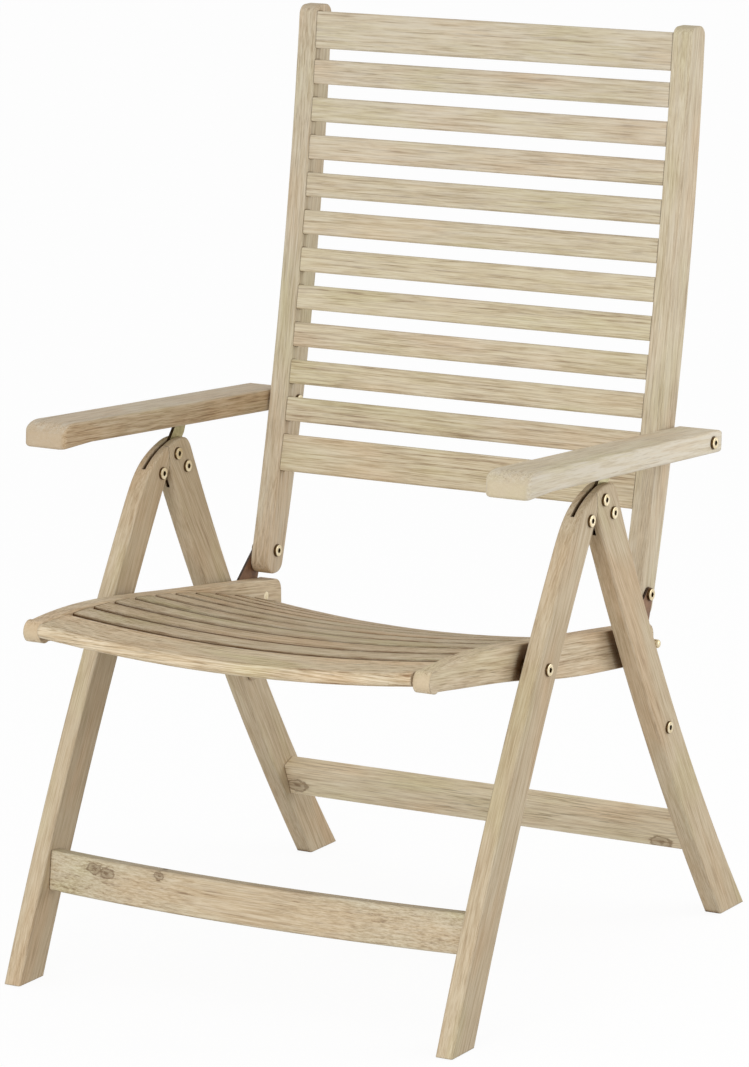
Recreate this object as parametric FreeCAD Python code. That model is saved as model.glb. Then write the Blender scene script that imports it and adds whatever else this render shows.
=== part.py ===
import FreeCAD, Part
import math
import os

# Folding garden armchair, millimetres, Z up, the sitter looks along -Y.
# Side-view points are (y, z) pairs. Right means +X, as seen in the photo.

# Widths across the chair
half_width = 290.0
leg_thick = 21.0
side_gap = 9.5
rail_thick = 21.0
arm_width = 55.0
arm_side_gap = 1.5

# Clearances
slide_gap = 0.3
pin_fit = 0.05
kerf_gap = 0.3
joint_gap = 0.5
stay_gap = 1.2

# Feet and leg hinge
foot_reach = 348.0
front_foot_wide = 49.6
rear_foot_wide = 60.5
hinge = (-32.0, 531.0)
front_leg_ahead = 33.3
front_leg_behind = 14.0
front_leg_bow = 11.9
front_leg_back_bow = 10.5
rear_leg_ahead = 17.4
rear_leg_behind = 72.4
rear_leg_bow = 12.7
rear_leg_back_bow = 16.4

# Crown of the two legs around the hinge
crown_front_drop = 26.4
crown_split = (14.0, 29.0)
crown_split_tilt = 19.3
crown_rear = (42.7, 34.4)
crown_rear_tilt = 1.5
crown_heel_rise = 21.0
joint_mid = (16.4, 9.0)
joint_low_rise = 2.2
kerf_front_drop = 3.0
kerf_clear = 1.5

# Stretchers
front_bar_z = 118.0
front_bar_shift = -1.8
front_bar_high = 45.5
front_bar_thick = 20.0
front_bar_bow = 29.0
front_bar_lean = 7.8
rear_bar_z = 108.5
rear_bar_high = 41.5
rear_bar_thick = 22.0
rear_bar_lean = 20.8

# Seat, measured from the seat pivot on the front legs
seat_pivot_z = 383.5
rail_top = ((-191.0, 36.0), (-88.0, 35.5), (56.0, 18.5), (200.0, -0.5), (291.0, -12.5))
rail_bottom = ((-190.0, 12.5), (-105.0, 0.5), (-13.0, -13.5), (85.0, -32.0), (226.0, -50.5), (291.0, -58.5))
rail_nose = (-207.0, 24.5)
rail_tail_round = 15.0
seat_line = ((-143.0, 35.0), (-2.0, 25.5), (157.0, -2.5), (307.0, -44.5))
slat_count = 11
slat_pitch = 42.5
slat_gap = 8.5
slat_thick = 13.0
slat_dish = 13.5
first_gap = -143.0
front_slat_wide = 63.0
front_slat_thick = 15.5
front_slat_round = 7.0
rear_slat_wide = 52.0

# Back, pivoted on brackets behind the seat
back_pivot = (291.5, 22.5)
stile_ahead = 17.5
stile_thick = 24.5
stile_low_depth = 36.0
stile_top_depth = 35.0
stile_back_bow = 16.5
stile_lean = 107.4
stile_bow = 12.0
stile_end_drop = 27.0
stile_end_round = 15.0
stile_top_round = 12.0
back_top_z = 1040.0
back_slat_count = 12
back_slat_thick = 14.0
back_slat_inset = 1.0
back_slat_narrow = 28.6
back_slat_wide = 43.6
back_first_gap = 13.0
back_low_margin = 98.7
back_top_margin = 6.0

# Arms
arm_pivot_z = 577.5
arm_pivot_behind = 26.5
arm_slope = 4.2
arm_thick = 25.5
arm_reach = 450.0
arm_tail = 20.0
arm_splay = 1.0
arm_edge_round = 4.0
arm_front_round = 9.0
nose_long = 42.0
nose_high = 17.0
nose_droop = 4.0
nose_turn = 55.0
heel_long = 60.0
groove_wide = 16.0
groove_deep = 17.0
groove_from = 160.0
groove_to = 305.0
notch_count = 5
notch_pitch = 20.0
notch_radius = 6.0
notch_rise = 2.5

# Metalwork
plate_thick = 4.0
eye_radius = 13.0
plate_corner = 11.0
fix_high = (33.0, 17.6)
fix_low = (52.9, -0.6)
neck_half = 10.2
notch_pin_reach = 63.0
notch_pin_depth = 8.0
notch_pin_radius = 4.0
notch_pin_half = 7.0
neck_end = 5.5
bracket_thick = 3.0
bracket_corner = 8.0
bracket_toe = (-48.0, -43.0)
stop_drop = 51.5
stop_clear = 11.1
stop_pin_radius = 5.0
stop_pin_out = 16.0
stay_bolt = (-41.0, -65.8)
stay_thick = 3.0
stay_half = 9.0
stay_leg_z = 255.0
bolt_radius = 4.0
head_radius = 7.2
head_high = 3.0
socket_half = 2.8
washer_radius = 9.0
rivet_high = 0.8
leg_bevel = 1.5
edge_ease = 2.2
slat_ease = 2.5


def vec(x, p):
    return FreeCAD.Vector(x, p[0], p[1])


def add(p, q):
    return (p[0] + q[0], p[1] + q[1])


def scaled(p, size):
    return (p[0] * size, p[1] * size)


def unit(p, q):
    size = math.hypot(q[0] - p[0], q[1] - p[1])
    return ((q[0] - p[0]) / size, (q[1] - p[1]) / size)


def bow_circle(p, q, bow):
    """Centre and radius of the arc from p to q that bulges by bow to the left of the way."""
    half = math.hypot(q[0] - p[0], q[1] - p[1]) / 2
    radius = (half * half + bow * bow) / (2 * abs(bow))
    way = unit(p, q)
    reach = math.copysign(radius - abs(bow), bow)
    middle = scaled(add(p, q), 0.5)
    return (middle[0] + way[1] * reach, middle[1] - way[0] * reach), radius


def arc_y(circle, z, side):
    """Y of a circle at height z, before its centre with side -1 and behind it with side 1."""
    return circle[0][0] + side * math.sqrt(circle[1] ** 2 - (z - circle[0][1]) ** 2)


def line(p, q):
    return Part.makeLine(vec(0, p), vec(0, q))


def arc(p, m, q):
    return Part.Arc(vec(0, p), vec(0, m), vec(0, q)).toShape()


def arc_way(circle, z):
    """Upward way of the part of a circle before its centre, at height z."""
    way = unit(circle[0], (arc_y(circle, z, -1), z))
    return (way[1], -way[0])


def bend(p, way_p, q, way_q):
    """Smooth curve that leaves p along way_p and reaches q along way_q."""
    hold = 0.415 * math.hypot(q[0] - p[0], q[1] - p[1])
    poles = [p, add(p, scaled(way_p, hold)), add(q, scaled(way_q, -hold)), q]
    shape = Part.BezierCurve()
    shape.setPoles([vec(0, pole) for pole in poles])
    return shape.toShape()


def side_arc(circle, z0, z1, side):
    zm = (z0 + z1) / 2
    ends = [(arc_y(circle, z, side), z) for z in (z0, zm, z1)]
    return arc(*ends)


def curve(points):
    spline = Part.BSplineCurve()
    spline.interpolate([vec(0, p) for p in points])
    return spline.toShape()


def prism(edges, x0, x1):
    """Solid from a closed side-view outline, between the planes x0 and x1."""
    face = Part.Face(Part.Wire(Part.__sortEdges__(edges)))
    face.translate(FreeCAD.Vector(x0, 0, 0))
    return face.extrude(FreeCAD.Vector(x1 - x0, 0, 0))


def poly(points, x0, x1):
    return prism([line(points[i - 1], points[i]) for i in range(len(points))], x0, x1)


def rod(p, radius, x0, x1):
    return Part.makeCylinder(radius, x1 - x0, vec(x0, p), FreeCAD.Vector(1, 0, 0))


def link(p, q, rp, rq, x0, x1):
    """Plate around two discs, with straight tangent sides."""
    gap = math.hypot(q[0] - p[0], q[1] - p[1])
    way = math.atan2(q[1] - p[1], q[0] - p[0])
    lean = math.acos((rp - rq) / gap)
    corners = []
    for centre, radius, turn in ((p, rp, lean), (q, rq, lean), (q, rq, -lean), (p, rp, -lean)):
        corners.append(add(centre, (radius * math.cos(way + turn), radius * math.sin(way + turn))))
    return rod(p, rp, x0, x1).fuse([rod(q, rq, x0, x1), poly(corners, x0, x1)])


def eased(shape, radius, test):
    return shape.makeFillet(radius, [edge for edge in shape.Edges if test(edge.BoundBox)])


def bevelled(shape, size, test):
    return shape.makeChamfer(size, [edge for edge in shape.Edges if test(edge.BoundBox)])


def long_in_plane(x0, x1):
    """Test for long edges that lie in one of the planes x0 and x1."""

    def test(box):
        flat = box.XLength < 0.01 and box.DiagonalLength > 90
        return flat and min(abs(box.XMin - x0), abs(box.XMin - x1)) < 0.01

    return test


def turned(shape, centre, degrees):
    """Turned about the X line through centre; positive lifts the +Y side."""
    shape.rotate(vec(0, centre), FreeCAD.Vector(1, 0, 0), degrees)
    return shape


def mirrored(shape):
    return shape.mirror(FreeCAD.Vector(0, 0, 0), FreeCAD.Vector(1, 0, 0))


def save(name, shape):
    shape.exportStep("parts/" + name + ".step")


def save_pair(name, shape):
    save(name + "_right", shape)
    save(name + "_left", mirrored(shape))


def save_group(name, shapes):
    save(name, Part.makeCompound(shapes + [mirrored(shape) for shape in shapes]))


def head(p, x, way):
    """Low bolt head with a hexagon socket, standing on the plane x and looking along way."""
    cap = rod(p, head_radius, 0, head_high)
    cap = eased(cap, head_high * 0.45, lambda box: box.XMin > head_high - 0.01)
    size = socket_half / math.cos(math.radians(30))
    turns = [math.radians(60 * i) for i in range(6)]
    corners = [add(p, (size * math.cos(t), size * math.sin(t))) for t in turns]
    cap = cap.cut(poly(corners, head_high * 0.35, head_high + 1))
    if way < 0:
        cap = mirrored(cap)
    cap.translate(FreeCAD.Vector(x, 0, 0))
    return cap


def bolt(p, x_in, x_out, extras):
    """Shank from x_in to x_out with a head outside, fused with the extra pieces."""
    return rod(p, bolt_radius, x_in, x_out).fuse([head(p, x_out, 1)] + extras)


def two_headed(p, x_in, x_out, extras):
    return bolt(p, x_in, x_out, [head(p, x_in, -1)] + extras)


os.makedirs("parts", exist_ok=True)

# Side planes
leg_out = half_width
leg_in = leg_out - leg_thick
rail_out = leg_in - side_gap
rail_in = rail_out - rail_thick
stile_out = rail_out - slide_gap
stile_in = stile_out - stile_thick
arm_in = rail_out + arm_side_gap
arm_out = arm_in + arm_width
plate_mid = (leg_in + leg_out) / 2
plate_x0 = plate_mid - plate_thick / 2
plate_x1 = plate_mid + plate_thick / 2
bracket_out = rail_out + bracket_thick
stay_x1 = leg_in - stay_gap
stay_x0 = stay_x1 - stay_thick

# Curved leg edges, as arcs from the floor to hinge height
front_edge = bow_circle((-foot_reach, 0), add(hinge, (-front_leg_ahead, 0)), front_leg_bow)
front_heel = (front_foot_wide - foot_reach, 0)
front_back = bow_circle(front_heel, add(hinge, (front_leg_behind, 0)), front_leg_back_bow)
rear_toe = (foot_reach - rear_foot_wide, 0)
rear_edge = bow_circle(rear_toe, add(hinge, (rear_leg_ahead, 0)), rear_leg_bow)
rear_back = bow_circle((foot_reach, 0), add(hinge, (rear_leg_behind, 0)), rear_leg_back_bow)


def front_centre(z):
    return ((arc_y(front_edge, z, -1) + arc_y(front_back, z, -1)) / 2, z)


def rear_centre(z):
    return ((arc_y(rear_edge, z, -1) + arc_y(rear_back, z, -1)) / 2, z)


# Pivots and bolt places
seat_pivot = front_centre(seat_pivot_z)
back_joint = add(seat_pivot, back_pivot)
stop_z = back_joint[1] - stop_drop
stop_place = (arc_y(rear_back, stop_z, -1) + stop_clear + stop_pin_radius, stop_z)
stay_top = add(back_joint, stay_bolt)
stay_foot = rear_centre(stay_leg_z)
fix_a = add(hinge, fix_high)
fix_b = add(hinge, fix_low)
stile_foot = (back_joint[0] - stile_ahead, back_joint[1])
stile_head = (back_joint[0] + stile_lean, back_top_z)
stile_edge = bow_circle(stile_foot, stile_head, -stile_bow)
stile_heel = add(stile_foot, (stile_low_depth, 0))
stile_back = bow_circle(stile_heel, add(stile_head, (stile_top_depth, 0)), -stile_back_bow)
arm_joint = (arc_y(stile_edge, arm_pivot_z, 1) + arm_pivot_behind, arm_pivot_z)
arm_way = (-math.cos(math.radians(arm_slope)), math.sin(math.radians(arm_slope)))
arm_up = (arm_way[1], -arm_way[0])


def arm_place(reach, up):
    """Point of the arm in side view: reach forward of its bolt, up above its underside."""
    return add(arm_joint, add(scaled(arm_way, reach), scaled(arm_up, up - arm_thick / 2)))


notch_reach = (arm_joint[0] - hinge[0] - notch_pin_reach) / math.cos(math.radians(arm_slope))
notch_pin = arm_place(notch_reach, notch_pin_depth)

# Leg tops: crown, joint line and saw kerfs for the hinge plates
crown_z = hinge[1] - crown_front_drop
crown_start = (arc_y(front_edge, crown_z, -1), crown_z)
split_top = add(hinge, crown_split)
split_way = (math.cos(math.radians(crown_split_tilt)), math.sin(math.radians(crown_split_tilt)))
crown_end = add(hinge, crown_rear)
end_way = (math.cos(math.radians(crown_rear_tilt)), math.sin(math.radians(crown_rear_tilt)))
split_mid = add(hinge, joint_mid)
vee_z = hinge[1] + joint_low_rise
kerf_x0 = plate_x0 - kerf_gap
kerf_x1 = plate_x1 + kerf_gap
sky = back_top_z
leg_way = unit(hinge, seat_pivot)
leg_back = (-leg_way[1], leg_way[0])


def drilled(shape, places, radius, x0, x1):
    return shape.cut([rod(p, radius, x0, x1) for p in places])


# Front legs
vee = (arc_y(front_back, vee_z, -1), vee_z)
outline = [side_arc(front_edge, 0, crown_z, -1)]
outline += [bend(crown_start, arc_way(front_edge, crown_z), split_top, split_way)]
outline += [line(split_top, split_mid), line(split_mid, vee), side_arc(front_back, vee_z, 0, -1)]
outline += [line(front_heel, (-foot_reach, 0))]
front_leg = bevelled(prism(outline, leg_in, leg_out), leg_bevel, long_in_plane(leg_in, leg_out))
floor_front = add(hinge, add(scaled(leg_way, kerf_front_drop), scaled(leg_back, -front_leg_ahead)))
floor_eye = add(hinge, scaled(leg_way, eye_radius + kerf_clear))
floor_ahead = add(scaled(floor_front, 2), scaled(floor_eye, -1))
floor_behind = add(hinge, add(scaled(leg_way, 2.1 * eye_radius), scaled(leg_back, 2 * front_leg_behind)))
kerf = [floor_ahead, floor_eye, floor_behind, (crown_end[0], floor_behind[1])]
kerf += [(crown_end[0], sky), (floor_ahead[0], sky)]
front_leg = front_leg.cut(poly(kerf, kerf_x0, kerf_x1))
save_pair("front_leg", drilled(front_leg, [hinge, seat_pivot], bolt_radius, leg_in, leg_out))

# Rear legs
heel_z = hinge[1] + crown_heel_rise
heel = (arc_y(rear_back, heel_z, -1), heel_z)
split_top = add(split_top, (joint_gap, 0))
split_mid = add(split_mid, (joint_gap, 0))
vee = (arc_y(rear_edge, vee_z, -1), vee_z)
outline = [side_arc(rear_edge, 0, vee_z, -1), line(vee, split_mid), line(split_mid, split_top)]
outline += [bend(split_top, split_way, crown_end, end_way)]
outline += [bend(crown_end, end_way, heel, scaled(arc_way(rear_back, heel_z), -1))]
outline += [side_arc(rear_back, heel_z, 0, -1), line((foot_reach, 0), rear_toe)]
rear_leg = bevelled(prism(outline, leg_in, leg_out), leg_bevel, long_in_plane(leg_in, leg_out))
floor_z = fix_b[1] - 2 * plate_corner
kerf_ahead = hinge[0] - eye_radius
kerf = [(kerf_ahead, floor_z), (foot_reach, floor_z), (foot_reach, sky), (kerf_ahead, sky)]
rear_leg = rear_leg.cut(poly(kerf, kerf_x0, kerf_x1))
save_pair("rear_leg", drilled(rear_leg, [fix_a, fix_b, stay_foot], bolt_radius, leg_in, leg_out))

# Front stretcher, bowed forward between the front legs
front_bar = add(front_centre(front_bar_z), (front_bar_shift, 0))
bow_y = front_bar[0] - front_bar_thick / 2
bar_ends = [(-leg_in, bow_y), (0, bow_y - front_bar_bow), (leg_in, bow_y)]
bar_edges = []
for shift in (0, front_bar_thick):
    flat = [FreeCAD.Vector(x, y + shift, 0) for x, y in bar_ends]
    bar_edges.append(Part.Arc(*flat).toShape())
for x in (-leg_in, leg_in):
    ends = [FreeCAD.Vector(x, y, 0) for y in (bow_y, bow_y + front_bar_thick)]
    bar_edges.append(Part.makeLine(*ends))
bar = Part.Face(Part.Wire(Part.__sortEdges__(bar_edges))).extrude(FreeCAD.Vector(0, 0, front_bar_high))
bar.translate(FreeCAD.Vector(0, 0, front_bar[1] - front_bar_high / 2))
bar = bevelled(bar, leg_bevel, lambda box: box.XLength > leg_in)
save("front_stretcher", turned(bar, front_bar, -front_bar_lean))

# Rear stretcher
rear_bar = rear_centre(rear_bar_z)
corner_y = rear_bar[0] - rear_bar_thick / 2
corner_point = FreeCAD.Vector(-leg_in, corner_y, rear_bar_z - rear_bar_high / 2)
bar = Part.makeBox(2 * leg_in, rear_bar_thick, rear_bar_high, corner_point)
bar = eased(bar, edge_ease, lambda box: box.XLength > leg_in)
save("rear_stretcher", turned(bar, rear_bar, rear_bar_lean))

# Hinge plates in the kerfs, with a neck up into the groove of the arm
neck_way = unit(hinge, add(hinge, (notch_pin_reach * 0.55, notch_pin_reach * 0.65)))
neck_side = (-neck_way[1] * neck_half, neck_way[0] * neck_half)
neck_top = add(notch_pin, scaled(neck_way, -neck_half - neck_end))
neck_foot = add(neck_top, scaled(neck_way, -eye_radius * 1.6))
neck_other = scaled(neck_side, -1)
corners = [add(neck_foot, neck_side), add(neck_top, neck_side)]
corners += [add(neck_top, neck_other), add(neck_foot, neck_other)]
neck = poly(corners, plate_x0, plate_x1)
plate = link(hinge, fix_a, eye_radius, plate_corner, plate_x0, plate_x1)
plate = plate.fuse([link(hinge, fix_b, eye_radius, plate_corner, plate_x0, plate_x1)])
plate = plate.fuse([link(fix_a, fix_b, plate_corner, plate_corner, plate_x0, plate_x1)])
plate = plate.fuse([poly([hinge, fix_b, fix_a], plate_x0, plate_x1), neck])
plate = plate.fuse([link(neck_top, notch_pin, neck_half, neck_end, plate_x0, plate_x1)]).removeSplitter()
plate = drilled(plate, [hinge], bolt_radius + pin_fit, plate_x0, plate_x1)
plate = drilled(plate, [fix_a, fix_b], bolt_radius, plate_x0, plate_x1)
plate = drilled(plate, [notch_pin], notch_pin_radius, plate_x0, plate_x1)
save_pair("hinge_plate", plate)
pin = rod(notch_pin, notch_pin_radius, plate_mid - notch_pin_half, plate_mid + notch_pin_half)
save_group("notch_pins", [pin])
save_group("hinge_pivot_bolts", [two_headed(hinge, leg_in, leg_out, [])])
save_group("hinge_fixing_bolts", [two_headed(p, leg_in, leg_out, []) for p in (fix_a, fix_b)])

# Seat rails
top = [add(seat_pivot, p) for p in rail_top]
bottom = [add(seat_pivot, p) for p in rail_bottom]
outline = [curve(top), curve(bottom), arc(bottom[0], add(seat_pivot, rail_nose), top[0])]
tail_top = add(top[-1], (rail_tail_round, -rail_tail_round))
tail_low = add(bottom[-1], (rail_tail_round, rail_tail_round))
bulge = rail_tail_round * math.sqrt(0.5)
outline += [arc(top[-1], add(top[-1], (bulge, bulge - rail_tail_round)), tail_top)]
outline += [line(tail_top, tail_low)]
outline += [arc(tail_low, add(bottom[-1], (bulge, rail_tail_round - bulge)), bottom[-1])]
rail = eased(prism(outline, rail_in, rail_out), edge_ease, long_in_plane(rail_in, rail_out))
rail = drilled(rail, [seat_pivot], bolt_radius + pin_fit, rail_in, rail_out)
rail = drilled(rail, [stop_place], stop_pin_radius, rail_in, rail_out)
rail = drilled(rail, [stay_top], bolt_radius, rail_in, rail_out)
save_pair("seat_rail", rail)
collar = rod(seat_pivot, washer_radius, rail_out + slide_gap, leg_in)
save_group("seat_pivot_bolts", [two_headed(seat_pivot, rail_in - slide_gap, leg_out, [collar])])


def seat_height(y):
    """Height of the slat tops at the rails, y behind the seat pivot, a cubic through seat_line."""
    total = 0.0
    for i, p in enumerate(seat_line):
        term = p[1]
        for j, q in enumerate(seat_line):
            if i != j:
                term *= (y - q[0]) / (p[0] - q[0])
        total += term
    return total


def seat_slat(y0, y1, thick, ease, front_ease):
    """Dished slat from y0 to y1 behind the seat pivot, tilted along the seat line."""
    middle = (y0 + y1) / 2
    place = add(seat_pivot, (middle, seat_height(max(middle, first_gap))))
    edges = []
    for drop in (0, thick):
        ends = [(-rail_in, -drop), (0, -drop - slat_dish), (rail_in, -drop)]
        edges.append(Part.Arc(*[FreeCAD.Vector(x, 0, z) for x, z in ends]).toShape())
    for x in (-rail_in, rail_in):
        edges.append(Part.makeLine(FreeCAD.Vector(x, 0, 0), FreeCAD.Vector(x, 0, -thick)))
    slat = Part.Face(Part.Wire(Part.__sortEdges__(edges))).extrude(FreeCAD.Vector(0, y1 - y0, 0))
    slat = eased(slat, front_ease, lambda box: box.XLength > rail_in and box.YMax < 0.01)
    slat = eased(slat, ease, lambda box: box.XLength > rail_in and box.YMin > y1 - y0 - 0.01)
    slat.translate(FreeCAD.Vector(0, place[0] - (y1 - y0) / 2, place[1]))
    reach = (y1 - y0) / 4
    slope = math.atan2(seat_height(middle + reach) - seat_height(middle - reach), 2 * reach)
    return turned(slat, place, math.degrees(slope) if middle > first_gap else 0)


for number in range(slat_count):
    start = first_gap + slat_pitch * (number - 1) + slat_gap / 2
    if number == 0:
        start = first_gap - slat_gap / 2 - front_slat_wide
        slat = seat_slat(start, start + front_slat_wide, front_slat_thick, slat_ease, front_slat_round)
    elif number == slat_count - 1:
        slat = seat_slat(start, start + rear_slat_wide, slat_thick, slat_ease, slat_ease)
    else:
        slat = seat_slat(start, start + slat_pitch - slat_gap, slat_thick, slat_ease, slat_ease)
    save("seat_slat_%02d" % (number + 1), slat)

# Brackets, stop pins and stays behind the seat
bracket = link(back_joint, stop_place, bracket_corner, bracket_corner, rail_out, bracket_out)
bracket = bracket.fuse([link(stop_place, stay_top, bracket_corner, stay_half, rail_out, bracket_out)])
bracket = bracket.fuse([link(back_joint, stay_top, bracket_corner, stay_half, rail_out, bracket_out)])
toe = add(back_joint, bracket_toe)
bracket = bracket.fuse([link(back_joint, toe, bracket_corner, stay_half, rail_out, bracket_out)])
bracket = bracket.fuse([link(toe, stay_top, stay_half, stay_half, rail_out, bracket_out)])
web = poly([back_joint, stop_place, stay_top, toe], rail_out, bracket_out)
bracket = bracket.fuse([web]).removeSplitter()
bracket = drilled(bracket, [back_joint], bolt_radius + pin_fit, rail_out, bracket_out)
bracket = drilled(bracket, [stop_place], stop_pin_radius, rail_out, bracket_out)
bracket = drilled(bracket, [stay_top], bolt_radius, rail_out, bracket_out)
save_pair("bracket", bracket)
pin_end = leg_in + stop_pin_out
pin = rod(stop_place, stop_pin_radius, rail_in, pin_end)
pin = eased(pin, stop_pin_radius * 0.6, lambda box: box.XMin > pin_end - 0.01)
save_group("stop_pins", [pin])
stay = link(stay_top, stay_foot, stay_half, stay_half, stay_x0, stay_x1).removeSplitter()
save_pair("stay", drilled(stay, [stay_top], bolt_radius + pin_fit, stay_x0, stay_x1))
collar = rod(stay_top, stay_half - 1, bracket_out, stay_x0 - slide_gap)
rivet = rod(stay_top, stay_half - 2, stay_x1, stay_x1 + rivet_high)
shank = rod(stay_top, bolt_radius, rail_in, stay_x1)
save_group("stay_seat_bolts", [shank.fuse([collar, rivet])])
save_group("stay_leg_bolts", [bolt(stay_foot, leg_in, leg_out, [])])

# Back stiles
low_z = back_joint[1] - stile_end_drop
high = [(arc_y(edge, back_top_z, 1), back_top_z) for edge in (stile_edge, stile_back)]
low = [(arc_y(edge, low_z, 1), low_z) for edge in (stile_edge, stile_back)]
outline = [side_arc(stile_edge, low_z, back_top_z, 1), line(high[0], high[1])]
outline += [side_arc(stile_back, back_top_z, low_z, 1), line(low[1], low[0])]
stile = prism(outline, stile_in, stile_out)
stile = eased(stile, stile_top_round, lambda box: box.ZMin > back_top_z - 0.01 and box.XLength > 1)
stile = eased(stile, stile_end_round, lambda box: box.ZMax < low_z + 0.01 and box.XLength > 1)
stile = eased(stile, edge_ease, long_in_plane(stile_in, stile_out))
stile = drilled(stile, [back_joint, arm_joint], bolt_radius + pin_fit, stile_in, stile_out)
save_pair("back_stile", stile)
save_group("back_pivot_bolts", [two_headed(back_joint, stile_in - slide_gap, bracket_out + slide_gap, [])])

# Back slats, spaced down the front edge of the stiles between the top and the pivot
centre, radius = stile_edge
turn = math.asin((back_top_z - back_top_margin - centre[1]) / radius)
last_turn = math.asin((back_joint[1] - centre[1]) / radius) + back_low_margin / radius
inner_count = back_slat_count - 2
wood_high = 2 * back_slat_wide + inner_count * back_slat_narrow
back_slat_gap = ((turn - last_turn) * radius - wood_high - back_first_gap) / inner_count
for number in range(back_slat_count):
    wide = back_slat_wide if number in (0, back_slat_count - 1) else back_slat_narrow
    middle = turn - wide / 2 / radius
    slat_start = radius + back_slat_inset
    box_corner = FreeCAD.Vector(-stile_in, centre[0] + slat_start, centre[1] - wide / 2)
    slat = Part.makeBox(2 * stile_in, back_slat_thick, wide, box_corner)
    slat = eased(slat, slat_ease, lambda box: box.XLength > stile_in)
    save("back_slat_%02d" % (number + 1), turned(slat, centre, math.degrees(middle)))
    turn -= (wide + (back_first_gap if number == 0 else back_slat_gap)) / radius

# Arms, drawn level with a drooping nose, then tilted about their bolts
arm_front = arm_joint[0] - arm_reach
arm_back = arm_joint[0] + arm_tail
arm_z0 = arm_joint[1] - arm_thick / 2
arm_z1 = arm_z0 + arm_thick
nose_low = (arm_front, arm_z0 - nose_droop)
nose_face = add(nose_low, (0, nose_high))
nose_top = (arm_front + nose_long, arm_z1)
nose_heel = (arm_front + heel_long, arm_z0)
nose_way = (-math.cos(math.radians(nose_turn)), -math.sin(math.radians(nose_turn)))
outline = [line((arm_back, arm_z0), (arm_back, arm_z1)), line((arm_back, arm_z1), nose_top)]
outline += [bend(nose_top, (-1, 0), nose_face, nose_way), line(nose_face, nose_low)]
outline += [line(nose_low, nose_heel), line(nose_heel, (arm_back, arm_z0))]
arm = prism(outline, arm_in, arm_out)
arm = eased(arm, arm_front_round, lambda box: box.YMax < arm_front + 1 and box.ZLength > box.XLength + 1)
arm = eased(arm, arm_edge_round, lambda box: box.XLength > 1 or box.YLength > 1)
arm.rotate(FreeCAD.Vector(arm_in, arm_joint[0], 0), FreeCAD.Vector(0, 0, 1), arm_splay)
groove_y = arm_joint[0] - groove_to
groove_x = plate_mid - groove_wide / 2
groove = Part.makeBox(groove_wide, groove_to - groove_from, groove_deep, vec(groove_x, (groove_y, arm_z0)))
cuts = [groove, rod(arm_joint, bolt_radius + pin_fit, rail_out, arm_out + arm_width)]
notch_z = arm_z0 + groove_deep + notch_rise - notch_radius
for number in range(notch_count):
    place = (arm_joint[0] - notch_reach - notch_pitch * number, notch_z)
    cuts.append(rod(place, notch_radius, groove_x, groove_x + groove_wide))
save_pair("arm", turned(arm.cut(cuts), arm_joint, -arm_slope))
collar = rod(arm_joint, washer_radius, stile_out + slide_gap, arm_in - slide_gap)
save_group("arm_bolts", [two_headed(arm_joint, stile_in - slide_gap, arm_out + slide_gap, [collar])])
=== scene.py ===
import math
import random

import bpy
from mathutils import Matrix, Vector

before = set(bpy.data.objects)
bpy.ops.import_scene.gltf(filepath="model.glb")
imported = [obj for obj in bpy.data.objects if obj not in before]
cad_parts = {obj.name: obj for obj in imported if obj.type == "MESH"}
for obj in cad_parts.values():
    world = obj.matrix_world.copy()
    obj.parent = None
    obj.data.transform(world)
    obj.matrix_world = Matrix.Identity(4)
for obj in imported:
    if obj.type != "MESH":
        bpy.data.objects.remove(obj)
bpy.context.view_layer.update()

scene = bpy.context.scene
scene.view_settings.view_transform = "Standard"


def srgb(r, g, b):
    """Linear colour from 0..255 display values."""
    out = []
    for value in (r, g, b):
        value /= 255.0
        out.append(value / 12.92 if value <= 0.04045 else ((value + 0.055) / 1.055) ** 2.4)
    return (out[0], out[1], out[2], 1.0)


# The photograph's camera, in pixels of a 749 x 1067 image, in degrees and in metres
IMAGE_WIDE, IMAGE_HIGH = 749.0, 1067.0
FOCAL = 5445.784
CENTRE_X, CENTRE_Y = 373.22, 544.58
AZIMUTH, ELEVATION, ROLL = 30.5595, 12.3851, -0.5775
CAMERA_PLACE = (3.06145, -5.19701, 1.79299)
SENSOR = 36.0
VIEW_REACH = 60.0

# Floor, world and lamps
FLOOR_HALF = 14.0
FLOOR_Z = -0.001
FLOOR_GREY = (0.62, 0.62, 0.62, 1.0)
FLOOR_ROUGH = 0.9
FLOOR_GLOW = 1.07
FLOOR_GLOW_SHARE = 0.86
WORLD_WHITE = (1.0, 1.0, 1.0, 1.0)
WORLD_LIGHT = 0.72
WORLD_SEEN_EXTRA = 0.28
LAMP_TARGET = (0.0, 0.0, 0.5)

# Wood tones from pale to dark, each with its place on the scale of darkness
WOOD_TONES = (
    (0.0, srgb(219, 207, 183)),
    (0.40, srgb(203, 187, 157)),
    (0.72, srgb(183, 163, 132)),
    (1.0, srgb(142, 118, 88)),
)
PINKISH = srgb(255, 243, 233)
GREENISH = srgb(248, 252, 238)
LIME_CHALK = srgb(217, 208, 190)
PORE_BROWN = srgb(118, 98, 72)
KNOT_BROWN = srgb(112, 88, 62)
RUBBED_PALE = srgb(224, 216, 198)
NICK_BROWN = srgb(104, 82, 58)
CUT_END_BROWN = srgb(150, 128, 98)
# Brown of the painted shade in gaps, slots and on the seat slats' rounded edges
WOOD_PAINTED_SHADE = srgb(96, 65, 31)
# Near black of the painted shade in the hollows of the metal parts, such as bolt sockets
METAL_HOLLOW_SHADE = srgb(36, 29, 22)

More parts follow.
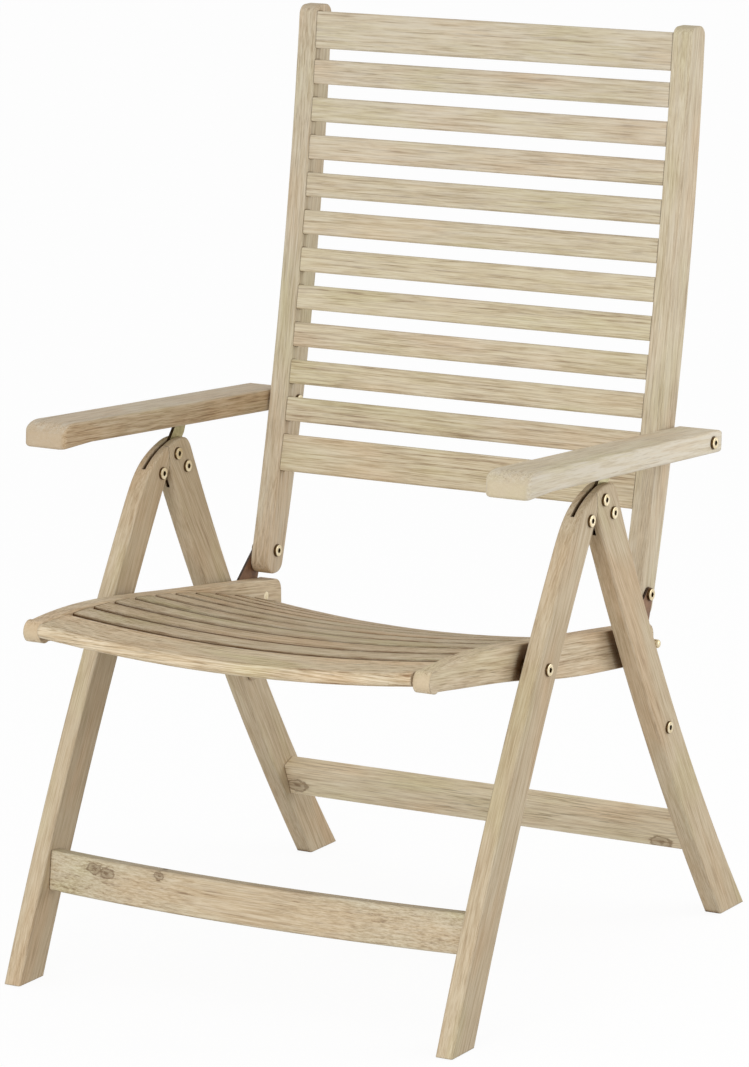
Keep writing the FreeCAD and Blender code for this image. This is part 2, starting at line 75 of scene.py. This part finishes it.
# Noise patterns: cells per metre across, through and along the board, then detail and roughness
STREAKS = ((400, 400, 10), 4.0, 0.68)
FIBRES = ((880, 880, 22), 3.0, 0.65)
CLOUDS = ((48, 48, 17), 3.0, 0.6)
DASHES = ((540, 540, 28), 2.0, 0.55)
PORE_AREAS = ((38, 38, 9.0), 2.0, 0.5)
TINTS = ((19, 19, 5.5), 2.0, 0.5)
CHALK_LINES = ((220, 220, 15), 4.0, 0.68)
RUBBED_AREAS = ((150, 150, 30), 3.0, 0.6)
NICKED_AREAS = ((260, 260, 60), 2.0, 0.5)
RING_WAVES = ((12, 12, 3.6), 3.0, 0.6)
KNOT_EDGES = ((260, 260, 150), 2.0, 0.5)
NOISE_MEAN = 0.5
SEED_SHIFT = (7.31, 3.17, 5.77)

# Limits between which a pattern goes from none to full
STREAK_LIMITS = (0.36, 0.64)
FIBRE_LIMITS = (0.39, 0.61)
CLOUD_LIMITS = (0.32, 0.70)
DASH_LIMITS = (0.56, 0.68)
PORE_AREA_LIMITS = (0.40, 0.64)
WARM_LIMITS = (0.46, 0.72)
COOL_LIMITS = (0.52, 0.28)
CHALK_LIMITS = (0.42, 0.66)
RUBBED_LIMITS = (0.38, 0.62)
NICK_LIMITS = (0.50, 0.62)
CUT_END_LIMITS = (0.55, 0.90)
EDGE_LIMITS = (0.01, 0.12)
TOP_TO_SIDE_LIGHT_LIMITS = (0.35, 0.85)
OUTER_FACE_LIMITS = (0.5, 0.9)

# Growth rings, with the late wood's rise and fall within a ring and the faintest ring's strength
RINGS_PER_METRE = 170.0
RING_SWAY = (0.024, 0.024, 0.0)
RING_PUSH = 1.6
LATE_RISE = (0.25, 0.90)
LATE_FALL = (1.0, 0.92)
FAINTEST_RING = 0.1

# Knots: lengths in metres, limits in radii of the knot, shares of the brown
KNOT_WOBBLE = 0.006
KNOT_STRETCH = 0.55
KNOT_FADE = -0.55
LEAST_RADIUS = 0.0001
LEAST_KNOT = 0.0005
KNOT_CORE = (1.1, 0.6)
KNOT_RIM_OUTSIDE = (1.15, 0.95)
KNOT_RIM_INSIDE = (0.65, 0.85)
KNOT_EYE = (0.42, 0.15)
KNOT_CORE_SHARE = 0.45
KNOT_RIM_SHARE = 0.85
KNOT_EYE_SHARE = 0.6

# Shares of the patterns in the wood's darkness, and how strongly each mark shows
LATE_DARK = 0.24
STREAK_DARK = 0.33
CLOUD_DARK = 0.18
FIBRE_DARK = 0.47
KNOT_DARK = 0.20
DARK_MEAN = 0.52
DARK_MIDDLE = 0.45
CUT_END_CALM = 0.75
CHALK_SHOWS = 0.55
LIME_FILM = 0.35
PORES_SHOW = 0.55
KNOTS_SHOW = 0.75
RUBBING_SHOWS = 0.35
NICKS_SHOW = 0.75
CUT_ENDS_SHOW = 0.12

# Surface of the wood
WOOD_ROUGH = 0.58
FIBRE_ROUGH = 0.18
PORE_ROUGH = 0.10
FIBRE_HEIGHT = 0.40
STREAK_HEIGHT = 0.40
PORE_DEPTH = 0.8
LATE_DEPTH = 0.25
WOOD_BUMP = (0.40, 0.0006)
WOOD_SPECULAR = 0.30

# Surface of the metal: mottled shades, brushing, painted shade in hollows and on darker rims
MOTTLE_SHARE = 0.7
BRUSH_SHARE = 0.3
BRUSH_ACROSS = 9
BRUSH_ALONG = 2
MOTTLE_LIMITS = (0.35, 0.65)
HOLLOW_REACH = 0.004
HOLLOW_LIMITS = (0.80, 0.50)
SHADED_RIM_LIMITS = (0.9, 0.5)
METAL_ROUGH_SPREAD = 0.12
METAL_BUMP = (0.15, 0.0003)


class Net:
    """Short forms for building a node tree."""

    def __init__(self, tree):
        self.tree = tree

    def new(self, kind, **props):
        node = self.tree.nodes.new("ShaderNode" + kind)
        for key, value in props.items():
            setattr(node, key, value)
        return node

    def put(self, socket, value):
        if isinstance(value, bpy.types.NodeSocket):
            self.tree.links.new(value, socket)
        else:
            socket.default_value = value

    def math(self, operation, a, b=0.0, clamp=False):
        node = self.new("Math", operation=operation, use_clamp=clamp)
        self.put(node.inputs[0], a)
        self.put(node.inputs[1], b)
        return node.outputs[0]

    def plus(self, a, b, clamp=False):
        return self.math("ADD", a, b, clamp)

    def minus(self, a, b, clamp=False):
        return self.math("SUBTRACT", a, b, clamp)

    def times(self, a, b):
        return self.math("MULTIPLY", a, b)

    def vector(self, operation, a, b=(0, 0, 0)):
        node = self.new("VectorMath", operation=operation)
        self.put(node.inputs[0], a)
        self.put(node.inputs[1], b)
        return node.outputs["Value" if operation in ("DOT_PRODUCT", "LENGTH") else "Vector"]

    def noise(self, place, pattern, output="Fac"):
        cells, detail, rough = pattern
        node = self.new("TexNoise", noise_dimensions="3D")
        self.put(node.inputs["Vector"], self.vector("MULTIPLY", place, cells))
        node.inputs["Scale"].default_value = 1.0
        node.inputs["Detail"].default_value = detail
        node.inputs["Roughness"].default_value = rough
        return node.outputs[output]

    def step(self, value, limits, to_low=0.0, to_high=1.0):
        node = self.new("MapRange", interpolation_type="SMOOTHSTEP")
        for socket, item in zip(node.inputs, (value, limits[0], limits[1], to_low, to_high)):
            self.put(socket, item)
        return node.outputs[0]

    def ramp(self, value, stops):
        node = self.new("ValToRGB")
        self.put(node.inputs[0], value)
        elements = node.color_ramp.elements
        while len(elements) < len(stops):
            elements.new(0.5)
        for element, (place, colour) in zip(elements, stops):
            element.position = place
            element.color = colour
        return node.outputs[0]

    def mix(self, factor, a, b, blend="MIX"):
        node = self.new("Mix", data_type="RGBA", blend_type=blend)
        self.put(node.inputs[0], factor)
        self.put(node.inputs[6], a)
        self.put(node.inputs[7], b)
        return node.outputs[2]

    def combine(self, x, y, z):
        node = self.new("CombineXYZ")
        for socket, value in zip(node.inputs, (x, y, z)):
            self.put(socket, value)
        return node.outputs[0]

    def separate(self, value):
        node = self.new("SeparateXYZ")
        self.put(node.inputs[0], value)
        return node.outputs

    def facing(self):
        """Normal in the piece's own frame, as X, Y and Z."""
        return self.separate(self.new("TexCoord").outputs["Normal"])


def wood_group():
    """Limed, brushed hardwood in grain space: x across, y through, z along the board."""
    tree = bpy.data.node_groups.new("limed_wood", "ShaderNodeTree")
    for kind, names in (
        ("Vector", ("Place", "Grain", "Wide", "Pith", "Knot_1", "Knot_2", "Knot_3")),
        ("Float", ("Seed", "Warm", "Value", "Bold", "Open", "Lime", "Wear", "Nick", "Painted_Shade")),
    ):
        for name in names:
            tree.interface.new_socket(name, in_out="INPUT", socket_type="NodeSocket" + kind)
    for name, kind in (("Color", "Color"), ("Roughness", "Float"), ("Height", "Float")):
        tree.interface.new_socket(name, in_out="OUTPUT", socket_type="NodeSocket" + kind)
    net = Net(tree)
    given = tree.nodes.new("NodeGroupInput").outputs
    thick_way = net.vector("CROSS_PRODUCT", given["Grain"], given["Wide"])
    across = net.vector("DOT_PRODUCT", given["Place"], given["Wide"])
    through = net.vector("DOT_PRODUCT", given["Place"], thick_way)
    along = net.vector("DOT_PRODUCT", given["Place"], given["Grain"])
    flat = net.combine(across, through, along)
    seeds = net.combine(given["Seed"], given["Seed"], given["Seed"])
    place = net.vector("ADD", flat, net.vector("MULTIPLY", seeds, SEED_SHIFT))

    # Knots push the growth rings aside and show a dark rim around a brown middle
    push = 0.0
    knot = 0.0
    wobble = net.times(net.minus(net.noise(place, KNOT_EDGES), NOISE_MEAN), KNOT_WOBBLE)
    for i in (1, 2, 3):
        at_across, at_along, radius = net.separate(given["Knot_%d" % i])
        side = net.minus(across, at_across)
        ahead = net.times(net.minus(along, at_along), KNOT_STRETCH)
        gap = net.plus(net.vector("LENGTH", net.combine(side, ahead, 0.0)), wobble)
        ratio = net.math("DIVIDE", gap, net.math("MAXIMUM", radius, LEAST_RADIUS))
        there = net.math("GREATER_THAN", radius, LEAST_KNOT)
        near = net.math("EXPONENT", net.times(net.times(ratio, ratio), KNOT_FADE))
        push = net.plus(push, net.times(near, there))
        core = net.times(net.step(ratio, KNOT_CORE), KNOT_CORE_SHARE)
        rim = net.times(net.step(ratio, KNOT_RIM_OUTSIDE), net.step(ratio, KNOT_RIM_INSIDE))
        eye = net.times(net.step(ratio, KNOT_EYE), KNOT_EYE_SHARE)
        spot = net.math("MAXIMUM", net.plus(core, eye), net.times(rim, KNOT_RIM_SHARE))
        knot = net.math("MAXIMUM", knot, net.times(spot, there))

    # Growth rings around a pith beside the board, wavy along the grain
    means = (NOISE_MEAN, NOISE_MEAN, NOISE_MEAN)
    wave = net.vector("SUBTRACT", net.noise(place, RING_WAVES, "Color"), means)
    bent = net.vector("ADD", flat, net.vector("MULTIPLY", wave, RING_SWAY))
    from_pith = net.vector("MULTIPLY", net.vector("SUBTRACT", bent, given["Pith"]), (1, 1, 0))
    rings = net.times(net.vector("LENGTH", from_pith), RINGS_PER_METRE)
    rings = net.plus(rings, net.times(push, RING_PUSH))
    phase = net.math("FRACT", rings)
    late = net.times(net.step(phase, LATE_RISE), net.step(phase, LATE_FALL))
    order = net.new("TexWhiteNoise", noise_dimensions="1D")
    net.put(order.inputs["W"], net.plus(net.math("FLOOR", rings), given["Seed"]))
    late = net.times(late, net.step(order.outputs[0], (FAINTEST_RING, 1.0), FAINTEST_RING, 1.0))

    # Cut ends, where the board is seen along its grain, have calmer patterns
    normal = net.new("TexCoord").outputs["Normal"]
    facing_end = net.math("ABSOLUTE", net.vector("DOT_PRODUCT", normal, given["Grain"]))
    end = net.step(facing_end, CUT_END_LIMITS)
    calm = net.times(net.minus(1.0, net.times(end, CUT_END_CALM)), given["Bold"])

    # Streaks, fibres, clouds and open pores drawn out along the grain
    streak = net.noise(place, STREAKS)
    fibre = net.noise(place, FIBRES)
    cloud = net.noise(place, CLOUDS)
    dashes = net.step(net.noise(place, DASHES), DASH_LIMITS)
    pores = net.times(dashes, net.step(net.noise(place, PORE_AREAS), PORE_AREA_LIMITS))
    pores = net.times(net.times(pores, given["Open"]), calm)
    dark = net.times(late, LATE_DARK)
    dark = net.plus(dark, net.times(net.step(streak, STREAK_LIMITS), STREAK_DARK))
    dark = net.plus(dark, net.times(net.step(cloud, CLOUD_LIMITS), CLOUD_DARK))
    dark = net.plus(dark, net.times(net.step(fibre, FIBRE_LIMITS), FIBRE_DARK))
    dark = net.plus(dark, net.times(push, KNOT_DARK))
    dark = net.plus(DARK_MIDDLE, net.times(net.minus(dark, DARK_MEAN), calm))
    colour = net.ramp(dark, WOOD_TONES)

    # Patches of pinkish and of greenish wood, and the chalky lime left in the grain
    tint = net.noise(place, TINTS)
    warm = net.plus(net.step(tint, WARM_LIMITS), given["Warm"], clamp=True)
    cool = net.minus(net.step(tint, COOL_LIMITS), given["Warm"], clamp=True)
    colour = net.mix(warm, colour, PINKISH, "MULTIPLY")
    colour = net.mix(cool, colour, GREENISH, "MULTIPLY")
    chalk = net.step(net.noise(place, CHALK_LINES), CHALK_LIMITS)
    chalk = net.times(chalk, net.times(calm, CHALK_SHOWS))
    film = net.times(given["Lime"], LIME_FILM)
    chalk = net.plus(net.times(chalk, given["Lime"]), film, clamp=True)
    colour = net.mix(chalk, colour, LIME_CHALK)
    colour = net.mix(net.times(pores, PORES_SHOW), colour, PORE_BROWN)
    colour = net.mix(net.times(knot, KNOTS_SHOW), colour, KNOT_BROWN)

    # Handled edges: rubbed pale, with dark nicks where the grain has opened
    rub = net.times(given["Wear"], net.step(net.noise(place, RUBBED_AREAS), RUBBED_LIMITS))
    nick = net.times(given["Wear"], net.step(net.noise(place, NICKED_AREAS), NICK_LIMITS))
    nick = net.times(nick, given["Nick"])
    colour = net.mix(net.times(rub, RUBBING_SHOWS), colour, RUBBED_PALE)
    colour = net.mix(net.times(nick, NICKS_SHOW), colour, NICK_BROWN)

    # Cut ends are a little darker, gaps get painted shade, and each board has its own brightness
    colour = net.mix(net.times(end, CUT_ENDS_SHOW), colour, CUT_END_BROWN)
    colour = net.mix(given["Painted_Shade"], colour, WOOD_PAINTED_SHADE)
    gain = net.combine(given["Value"], given["Value"], given["Value"])
    colour = net.mix(1.0, colour, gain, "MULTIPLY")

    rough = net.plus(WOOD_ROUGH, net.times(fibre, FIBRE_ROUGH))
    rough = net.plus(rough, net.times(pores, PORE_ROUGH))
    height = net.times(fibre, FIBRE_HEIGHT)
    height = net.plus(height, net.times(streak, STREAK_HEIGHT))
    height = net.minus(height, net.times(pores, PORE_DEPTH))
    height = net.minus(height, net.times(net.plus(late, nick), LATE_DEPTH))
    out = tree.nodes.new("NodeGroupOutput")
    net.put(out.inputs["Color"], colour)
    net.put(out.inputs["Roughness"], rough)
    net.put(out.inputs["Height"], height)
    return tree


WOOD = wood_group()


def new_material(name):
    material = bpy.data.materials.new(name)
    material.use_nodes = True
    return material, Net(material.node_tree), material.node_tree.nodes["Principled BSDF"]


def bump_node(net, relief, height):
    """Bump of a strength and a distance, from a height."""
    bump = net.new("Bump")
    bump.inputs["Strength"].default_value = relief[0]
    bump.inputs["Distance"].default_value = relief[1]
    net.put(bump.inputs["Height"], height)
    return bump


def wood(name, grain, wide, seed, warm, value, open_pores, lime, pith, knots=(), gap_reach=0.0016,
         gap_limits=(0.93, 0.42), gap_side=0.0, edge_soft=0.0022, edge_dirt=0.0, nicks=0.3, bold=1.0,
         top_lime=None):
    """A board's own wood, with painted shade where others are nearer than gap_reach, or on its gap_side
    only.
    """
    material, net, shader = new_material(name)
    group = net.new("Group", node_tree=WOOD)
    net.put(group.inputs["Place"], net.new("TexCoord").outputs["Object"])
    for key, setting in (
        ("Grain", grain), ("Wide", wide), ("Pith", (pith[0], pith[1], 0.0)), ("Seed", seed), ("Warm", warm),
        ("Value", value), ("Open", open_pores), ("Nick", nicks), ("Bold", bold), ("Lime", lime),
    ):
        group.inputs[key].default_value = setting
    for i, knot in enumerate(knots):
        group.inputs["Knot_%d" % (i + 1)].default_value = knot
    # Lime on top faces apart from the sides: partly lime, partly painted light, making tops and sides
    # lighter or darker as they are lit
    if top_lime is not None:
        sideways = net.math("ABSOLUTE", net.facing()[0])
        net.put(group.inputs["Lime"], net.step(sideways, TOP_TO_SIDE_LIGHT_LIMITS, top_lime, lime))
    soft = net.new("Bevel", samples=4)
    soft.inputs["Radius"].default_value = edge_soft
    true_normal = net.new("NewGeometry").outputs["True Normal"]
    edge = net.minus(1.0, net.vector("DOT_PRODUCT", soft.outputs[0], true_normal))
    edge = net.step(edge, EDGE_LIMITS)
    # Rounded edges are rubbed pale, except for the share edge_dirt, which gets painted shade instead
    net.put(group.inputs["Wear"], net.times(edge, 1.0 - edge_dirt))
    # Painted shade where other parts are nearer than gap_reach; with gap_side, only on the outer face,
    # under the legs
    shade = net.new("AmbientOcclusion", samples=8)
    shade.inputs["Distance"].default_value = gap_reach
    painted_shade = net.step(shade.outputs["AO"], gap_limits)
    if gap_side:
        outward = net.times(net.facing()[0], gap_side)
        painted_shade = net.times(painted_shade, net.step(outward, OUTER_FACE_LIMITS))
    net.put(group.inputs["Painted_Shade"], net.math("MAXIMUM", painted_shade, net.times(edge, edge_dirt)))
    bump = bump_node(net, WOOD_BUMP, group.outputs["Height"])
    net.put(bump.inputs["Normal"], soft.outputs[0])
    net.put(shader.inputs["Base Color"], group.outputs["Color"])
    net.put(shader.inputs["Roughness"], group.outputs["Roughness"])
    net.put(shader.inputs["Normal"], bump.outputs[0])
    shader.inputs["Specular IOR Level"].default_value = WOOD_SPECULAR
    return material


def metal(name, light, dark, metallic, rough, spots, rim=None):
    """Plated or painted steel, mottled and brushed, with painted shade in its hollows and, where rim is
    given, on faces that do not face sideways.
    """
    material, net, shader = new_material(name)
    place = net.new("TexCoord").outputs["Object"]
    cloud = net.noise(place, ((spots, spots, spots), 3.0, 0.6))
    brushing = (spots * BRUSH_ACROSS, spots * BRUSH_ACROSS, spots * BRUSH_ALONG)
    fine = net.noise(place, (brushing, 2.0, 0.5))
    mixed = net.plus(net.times(cloud, MOTTLE_SHARE), net.times(fine, BRUSH_SHARE))
    colour = net.mix(net.step(mixed, MOTTLE_LIMITS), dark, light)
    # Painted shade in hollows such as bolt sockets
    hollow = net.new("AmbientOcclusion", samples=4, only_local=True)
    hollow.inputs["Distance"].default_value = HOLLOW_REACH
    colour = net.mix(net.step(hollow.outputs["AO"], HOLLOW_LIMITS), colour, METAL_HOLLOW_SHADE)
    # Painted shade on faces that do not face sideways: the rims of bolt heads and the edges of the plates
    if rim:
        sideways = net.math("ABSOLUTE", net.facing()[0])
        colour = net.mix(net.step(sideways, SHADED_RIM_LIMITS), colour, rim)
    roughness = net.plus(rough - METAL_ROUGH_SPREAD / 2, net.times(fine, METAL_ROUGH_SPREAD))
    net.put(shader.inputs["Base Color"], colour)
    net.put(shader.inputs["Roughness"], roughness)
    net.put(shader.inputs["Normal"], bump_node(net, METAL_BUMP, mixed).outputs[0])
    shader.inputs["Metallic"].default_value = metallic
    return material


BRASS_SHADES = (srgb(232, 219, 188), srgb(202, 183, 143))
PLATED = {"metallic": 0.9, "rough": 0.32, "spots": 160.0}
PAINTED = {"metallic": 0.1, "rough": 0.55, "spots": 90.0}
BRASS = metal("brass_plated", *BRASS_SHADES, **PLATED)
BOLT = metal("brass_bolt", *BRASS_SHADES, **PLATED, rim=srgb(98, 76, 46))
BRONZE = metal("bronze_paint", srgb(142, 106, 76), srgb(114, 82, 57), **PAINTED, rim=srgb(62, 44, 30))
SAND = metal("sand_paint", srgb(192, 172, 141), srgb(172, 151, 121), **PAINTED)
OLIVE = metal("olive_plated_steel", srgb(192, 185, 148), srgb(160, 152, 116), metallic=0.8, rough=0.42,
              spots=90.0, rim=srgb(74, 60, 38))


def give(node, material):
    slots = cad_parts[node].data.materials
    slots.clear()
    slots.append(material)


def in_side_view(y, z):
    size = math.hypot(y, z)
    return (0.0, y / size, z / size)


def square_to(way):
    """The wide way of a board in the side view, square to its grain."""
    return (0.0, way[2], -way[1])


# Grain way of each kind of board; boards lie in planes of constant X or run across the chair
ACROSS = (1.0, 0.0, 0.0)
DEEP = (0.0, 1.0, 0.0)
UP = (0.0, 0.0, 1.0)
FRONT_LEG = in_side_view(0.2816, 0.531)
REAR_LEG = in_side_view(-0.3055, 0.531)
RAIL = in_side_view(1.0, -0.14)
STILE = in_side_view(0.125, 0.634)
ARM = in_side_view(-1.0, 0.0734)
ROUND = random.Random(11)


def spread(low, high):
    return ROUND.uniform(low, high)


def board(node, grain, wide, **looks):
    """Wood for a node; every look is drawn, and given looks take the place of drawn ones."""
    looks.setdefault("seed", spread(0.0, 40.0))
    looks.setdefault("warm", spread(-0.35, 0.30))
    looks.setdefault("value", spread(0.95, 1.03))
    looks.setdefault("open_pores", spread(0.35, 0.9))
    looks.setdefault("lime", spread(0.25, 0.6))
    looks.setdefault("pith", (spread(-0.05, 0.05), spread(0.06, 0.14)))
    give(node, wood("wood_" + node, grain, wide, **looks))


# Knots as height, place across the chair and radius, in metres
FRONT_KNOTS = ((0.1325, -0.2025, 0.0062), (0.1305, -0.1830, 0.0058), (0.139, -0.109, 0.0045))
REAR_KNOTS = ((0.098, -0.257, 0.008), (0.0915, 0.237, 0.008))

# Looks of the boards; in the legs only deep slots get painted shade
LEG_LOOKS = {
    "lime": 0.15, "warm": 0.3, "open_pores": 0.3, "bold": 0.72,
    "gap_reach": 0.010, "gap_limits": (0.50, 0.25),
}
LEG_VALUE = {"left": 0.96, "right": 0.97}
# Arms: the left is darker with a lighter top, the right has lighter sides; partly lime, partly painted
# light and painted shade
ARM_SIDE_LIME_AND_LIGHT = {"left": 0.0, "right": 1.35}
ARM_TOP_LIME_AND_LIGHT = {"left": 0.75, "right": 0.7}
ARM_WARM = {"left": 0.5, "right": -0.1}
ARM_VALUE_AND_LIGHT = {"left": 0.92, "right": 1.05}
OUTER = {"left": -1.0, "right": 1.0}
SEAT_SLATS = 11
SEAT_VALUE = 0.98
# Painted shade on the rounded edges of the seat slats, little on the front slat
SEAT_EDGE_SHADE = 0.75
SEAT_FRONT_VALUE = 1.12
SEAT_FRONT_EDGE_SHADE = 0.1
BACK_SLATS = 12
BACK_LIME = 0.80
BACK_LIME_STEP = 0.045

for side in ("left", "right"):
    for leg, way in (("front_leg_", FRONT_LEG), ("rear_leg_", REAR_LEG)):
        board(leg + side, way, square_to(way), value=LEG_VALUE[side], **LEG_LOOKS)
    # Rails: painted shadow on the outer face where the legs pass close
    board("seat_rail_" + side, RAIL, square_to(RAIL), lime=0.2, warm=0.3, value=1.10, gap_reach=0.013,
          gap_side=OUTER[side])
    board("back_stile_" + side, STILE, square_to(STILE), lime=0.5)
    board("arm_" + side, ARM, ACROSS, lime=ARM_SIDE_LIME_AND_LIGHT[side], top_lime=ARM_TOP_LIME_AND_LIGHT[side],
          warm=ARM_WARM[side], value=ARM_VALUE_AND_LIGHT[side], nicks=1.0)
board("front_stretcher", ACROSS, UP, lime=0.3, warm=-0.2, value=0.94, open_pores=0.4,
      pith=(0.45, 0.30), knots=FRONT_KNOTS)
board("rear_stretcher", ACROSS, UP, lime=0.35, warm=-0.1, value=1.24, knots=REAR_KNOTS)
for number in range(1, SEAT_SLATS + 1):
    front = number == 1
    board("seat_slat_%02d" % number, ACROSS, DEEP, lime=0.0, warm=spread(0.1, 0.5),
          value=SEAT_FRONT_VALUE if front else SEAT_VALUE, pith=(spread(0.7, 0.9), 0.4), bold=1.15,
          gap_reach=0.034, edge_soft=0.0045, edge_dirt=SEAT_FRONT_EDGE_SHADE if front else SEAT_EDGE_SHADE)
for number in range(1, BACK_SLATS + 1):
    board("back_slat_%02d" % number, ACROSS, UP, lime=BACK_LIME - BACK_LIME_STEP * number,
          warm=spread(-0.5, 0.1), value=spread(1.00, 1.06), open_pores=spread(0.2, 0.6), bold=1.08)
for kind in ("hinge_pivot", "hinge_fixing", "seat_pivot", "stay_leg", "back_pivot", "arm"):
    give(kind + "_bolts", BOLT)
give("stop_pins", BRASS)
for node in ("stay_left", "stay_right", "stay_seat_bolts"):
    give(node, SAND)
for node in ("bracket_left", "bracket_right"):
    give(node, BRONZE)
for node in ("hinge_plate_left", "hinge_plate_right", "notch_pins"):
    give(node, OLIVE)


def seen_directly(net):
    """1 for rays of the camera, of gloss and through glass, which see a plain white background."""
    path = net.new("LightPath").outputs
    seen = net.plus(path["Is Camera Ray"], path["Is Glossy Ray"])
    return net.plus(seen, path["Is Transmission Ray"], clamp=True)


# Floor, which keeps some of its own shade where it is seen
floor_mesh = bpy.data.meshes.new("floor")
corners = [(x * FLOOR_HALF, y * FLOOR_HALF, FLOOR_Z) for x, y in ((-1, -1), (1, -1), (1, 1), (-1, 1))]
floor_mesh.from_pydata(corners, [], [(0, 1, 2, 3)])
floor = bpy.data.objects.new("floor", floor_mesh)
scene.collection.objects.link(floor)
material, net, shader = new_material("floor_white")
shader.inputs["Base Color"].default_value = FLOOR_GREY
shader.inputs["Roughness"].default_value = FLOOR_ROUGH
shader.inputs["Specular IOR Level"].default_value = 0.0
glow = net.new("Emission")
glow.inputs["Strength"].default_value = FLOOR_GLOW
blend = net.new("MixShader")
net.put(blend.inputs[0], net.times(seen_directly(net), FLOOR_GLOW_SHARE))
net.put(blend.inputs[1], shader.outputs[0])
net.put(blend.inputs[2], glow.outputs[0])
net.put(material.node_tree.nodes["Material Output"].inputs["Surface"], blend.outputs[0])
floor_mesh.materials.append(material)

# World, brighter where it is seen than as a light
world = bpy.data.worlds.new("studio")
scene.world = world
world.use_nodes = True
net = Net(world.node_tree)
background = world.node_tree.nodes["Background"]
extra = net.times(seen_directly(net), WORLD_SEEN_EXTRA)
net.put(background.inputs["Strength"], net.plus(WORLD_LIGHT, extra))
background.inputs["Color"].default_value = WORLD_WHITE


def softbox(name, place, size, power):
    lamp = bpy.data.lights.new(name, "AREA")
    lamp.shape = "SQUARE"
    lamp.size = size
    lamp.energy = power
    obj = bpy.data.objects.new(name, lamp)
    obj.location = place
    obj.rotation_euler = (Vector(LAMP_TARGET) - Vector(place)).to_track_quat("-Z", "Y").to_euler()
    scene.collection.objects.link(obj)


softbox("side", place=(1.52, 0.88, 0.70), size=1.0, power=8.4)
softbox("front", place=(0.30, -3.90, 0.75), size=1.6, power=62.0)

# Camera, turned to the azimuth and elevation and then rolled
az, el, roll = (math.radians(a) for a in (AZIMUTH, ELEVATION, ROLL))
back_way = Vector((math.sin(az) * math.cos(el), -math.cos(az) * math.cos(el), math.sin(el)))
right_way = Vector((math.cos(az), math.sin(az), 0.0))
up_way = back_way.cross(right_way)
tilted_right = math.cos(roll) * right_way + math.sin(roll) * up_way
tilted_up = -math.sin(roll) * right_way + math.cos(roll) * up_way
camera = bpy.data.cameras.new("camera")
camera.sensor_fit = "VERTICAL"
camera.sensor_height = SENSOR
camera.lens = FOCAL * SENSOR / IMAGE_HIGH
camera.shift_x = (IMAGE_WIDE / 2 - CENTRE_X) / IMAGE_HIGH
camera.shift_y = (CENTRE_Y - IMAGE_HIGH / 2) / IMAGE_HIGH
camera.clip_end = VIEW_REACH
view = bpy.data.objects.new("camera", camera)
turn = Matrix((tilted_right, tilted_up, back_way)).transposed()
view.matrix_world = Matrix.Translation(CAMERA_PLACE) @ turn.to_4x4()
scene.collection.objects.link(view)
scene.camera = view
